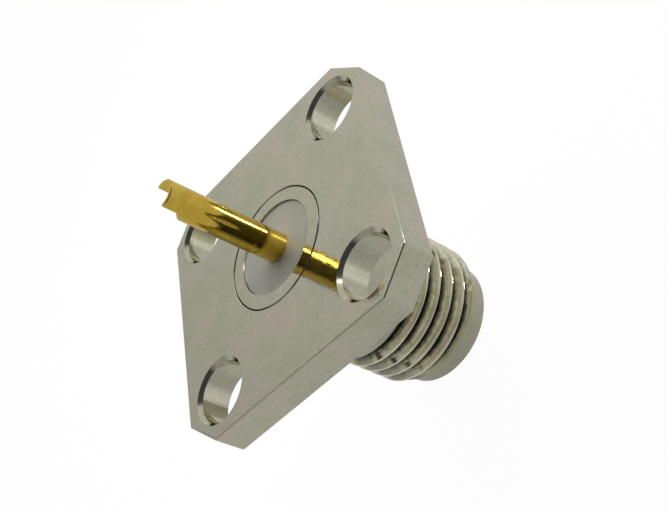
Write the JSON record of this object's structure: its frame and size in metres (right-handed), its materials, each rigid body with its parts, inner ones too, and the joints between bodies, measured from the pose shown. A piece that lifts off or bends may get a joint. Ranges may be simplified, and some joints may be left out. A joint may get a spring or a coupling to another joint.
{
  "type": "coaxial panel jack",
  "caption": "Square-flange coaxial panel jack: a threaded barrel with a slotted centre socket in front and a straight solder-cup contact standing out of the rear.",
  "frame": {"origin": "centre of the flange's rear face, on the common axis", "axes": "+Z along the common axis towards the solder tail, X and Y along the sides of the square flange; the threaded front points to -Z and the part stands on its nose"},
  "size_m": [0.0126, 0.0126, 0.015],
  "materials": {
    "nickel_flange": "satin nickel plating over brass",
    "nickel_body": "satin nickel plating over brass",
    "ptfe": "matte, slightly translucent white",
    "gold_contact": "polished gold plating over beryllium copper"
  },
  "bodies": {
    "root": {"flange": "nickel_flange", "body": "nickel_body", "dielectric": "ptfe", "contact": "gold_contact"}
  },
  "joints": []
}
